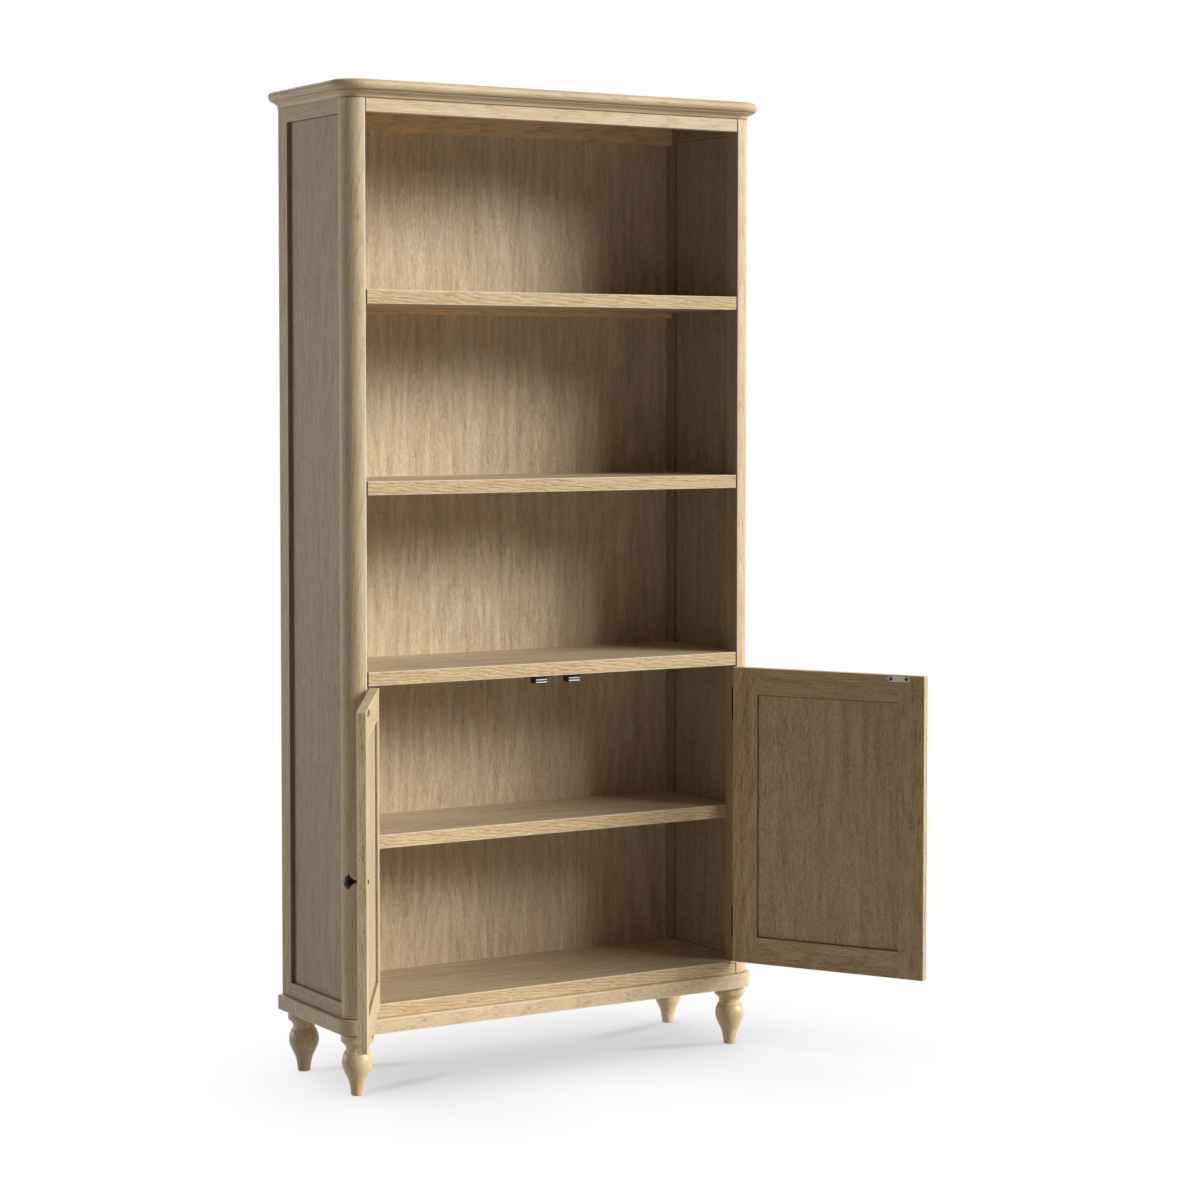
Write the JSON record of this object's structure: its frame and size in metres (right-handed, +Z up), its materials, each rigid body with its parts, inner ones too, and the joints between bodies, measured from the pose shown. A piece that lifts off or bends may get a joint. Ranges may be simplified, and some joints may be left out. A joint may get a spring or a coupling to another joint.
{
  "type": "bookcase",
  "caption": "Tall shallow bookcase on turned feet: open shelves over a cupboard with paired framed doors on butt hinges, rounded front corners, moulded cornice and plinth.",
  "frame": {"origin": "on the floor, at the centre of the box around the bookcase with both doors open as at rest", "axes": "+X to the right seen from the front, +Y from the front to the back, +Z up"},
  "size_m": [1.259, 0.6669, 1.898],
  "materials": {
    "oak": "washed oak, pale satin lacquer",
    "oak_panel": "oak veneer with upright grain, satin lacquer",
    "turned_oak": "turned oak, satin lacquer",
    "plain_rail_wood": "plain brown softwood, unfinished",
    "dowel_wood": "plain",
    "dark_bronze": "dark bronze, satin",
    "hinge_metal": "antiqued dark steel",
    "screw_steel": "dark steel",
    "bright_steel": "bright zinc",
    "strike_steel": "nickel plated",
    "catch_plastic": "black moulded"
  },
  "bodies": {
    "carcass": {"base_front_rail": "oak", "base_rear_rail": "oak", "bottom_board": "oak", "case_screws": "screw_steel", "catch_poles": "bright_steel", "cornice_board": "oak", "cupboard_top": "oak", "dowels": "dowel_wood", "foot_bolts": "bright_steel", "frame_hinge_leaves": "hinge_metal", "front_left_foot": "turned_oak", "front_right_foot": "turned_oak", "front_top_rail": "oak", "hinge_pins": "hinge_metal", "inner_shelf": "oak", "left_base_rail": "oak", "left_catch": "catch_plastic", "left_front_post": "oak", "left_rear_stile": "oak", "left_side_bottom_rail": "oak", "left_side_panel": "oak_panel", "left_side_top_rail": "oak", "lower_back_panel": "oak_panel", "middle_shelf": "oak", "rear_left_foot": "turned_oak", "rear_middle_rail": "plain_rail_wood", "rear_right_foot": "turned_oak", "rear_top_rail": "plain_rail_wood", "right_base_rail": "oak", "right_catch": "catch_plastic", "right_front_post": "oak", "right_rear_stile": "oak", "right_side_bottom_rail": "oak", "right_side_panel": "oak_panel", "right_side_top_rail": "oak", "shelf_pins": "bright_steel", "top_board": "oak", "upper_back_panel": "oak_panel", "upper_shelf": "oak"},
    "left_door": {"left_hinge_stile": "oak", "left_meeting_stile": "oak", "left_door_top_rail": "oak", "left_door_bottom_rail": "oak", "left_door_panel": "oak_panel", "left_door_hinge_leaves": "hinge_metal", "left_door_screws": "screw_steel", "left_knob": "dark_bronze", "left_knob_bolt": "bright_steel", "left_strike_plate": "strike_steel"},
    "right_door": {"right_hinge_stile": "oak", "right_meeting_stile": "oak", "right_door_top_rail": "oak", "right_door_bottom_rail": "oak", "right_door_panel": "oak_panel", "right_door_hinge_leaves": "hinge_metal", "right_door_screws": "screw_steel", "right_knob": "dark_bronze", "right_knob_bolt": "bright_steel", "right_strike_plate": "strike_steel"}
  },
  "joints": [
    {"name": "left_door_hinge", "type": "hinge", "parent": "carcass", "child": "left_door", "pos_m": [-0.414, 0.03379, 0.47425], "axis": [0, 0, -1], "range_deg": [-120, 55]},
    {"name": "right_door_hinge", "type": "hinge", "parent": "carcass", "child": "right_door", "pos_m": [0.414, 0.03379, 0.47425], "axis": [0, 0, 1], "range_deg": [-120, 55]}
  ]
}
